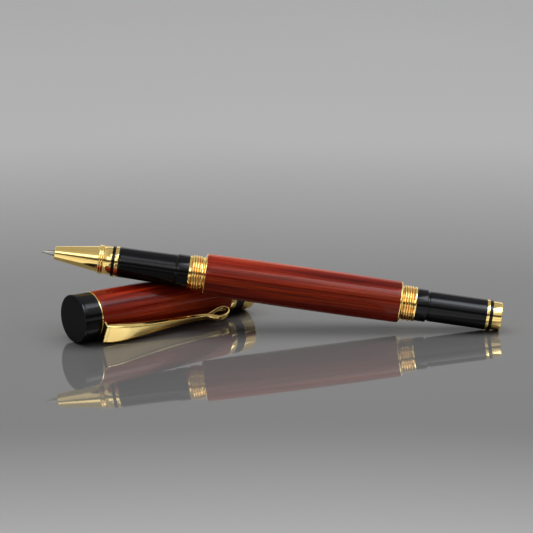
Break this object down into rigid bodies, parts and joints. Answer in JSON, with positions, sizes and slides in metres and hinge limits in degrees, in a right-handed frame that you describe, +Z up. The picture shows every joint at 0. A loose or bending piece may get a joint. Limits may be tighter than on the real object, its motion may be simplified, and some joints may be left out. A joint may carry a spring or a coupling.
{
  "type": "rollerball pen",
  "caption": "Uncapped rollerball pen with a wooden barrel, gold fittings and a black grip, leaning over its own clip cap.",
  "frame": {"origin": "on the surface that pen and cap lie on, under the middle of the whole arrangement", "axes": "+Z up; the pen's tip points along -X and is raised; the cap lies under its front end, mouth towards +X and +Y"},
  "size_m": [0.14, 0.0478, 0.0261],
  "materials": {
    "wood": "lacquered, fine lengthwise grain",
    "gold": "polished gold plate",
    "black": "polished",
    "steel": "bright",
    "brass": "turned",
    "plastic": "moulded"
  },
  "bodies": {
    "cap": {"cap_finial": "black", "finial_screw": "brass", "clip_washer": "gold", "cap_bush": "brass", "cap_tube": "brass", "cap_sleeve": "wood", "inner_cap": "plastic", "cap_coupler": "brass", "upper_band": "gold", "mouth_inlay": "black", "lower_band": "gold"},
    "clip": {"clip_arm": "gold"},
    "spring": {"refill_spring": "steel"},
    "barrel": {"barrel_sleeve": "wood", "barrel_tube": "brass", "front_coupler": "gold", "rear_coupler": "gold", "post_core": "brass", "post_sleeve": "black", "rear_ring": "gold", "rear_inlay": "black", "end_cap": "gold"},
    "refill": {"refill_point": "steel", "refill_collar": "plastic", "refill_tube": "steel", "refill_plug": "plastic"},
    "section": {"nib_cone": "gold", "nib_inlay": "black", "section_ring": "gold", "grip_section": "black", "section_liner": "brass"},
    "ball": {"ball": "steel"}
  },
  "joints": [
    {"name": "pen_lift", "type": "slide", "parent": "cap", "child": "section", "axis": [0, 0, 1], "range_m": [0, 0.06]},
    {"name": "barrel_travel", "type": "slide", "parent": "section", "child": "spring", "axis": [0.9899, 0, -0.1418], "range_m": [0, 0.007]},
    {"name": "barrel_turn", "type": "hinge", "parent": "spring", "child": "barrel", "pos_m": [-0.02557, -0.00253, 0.0178], "axis": [0.9899, 0, -0.1418], "range_deg": [0, 1440]},
    {"name": "refill_press", "type": "slide", "parent": "section", "child": "refill", "axis": [0.9899, 0, -0.1418], "range_m": [0, 0.00025], "stiffness_N_per_m": 200},
    {"name": "ball_roll", "type": "hinge", "parent": "refill", "child": "ball", "pos_m": [-0.06967, -0.00253, 0.02412], "axis": [0, 1, 0], "continuous": true},
    {"name": "clip_flex", "type": "hinge", "parent": "cap", "child": "clip", "pos_m": [-0.05043, -0.02014, 0.00423], "axis": [-0.2571, 0.3355, -0.9063], "range_deg": [0, 3], "stiffness_Nm_per_rad": 2}
  ],
  "couplings": [
    {"joint": "barrel_turn", "follows": "barrel_travel", "rad_per_m": 3590.4}
  ]
}
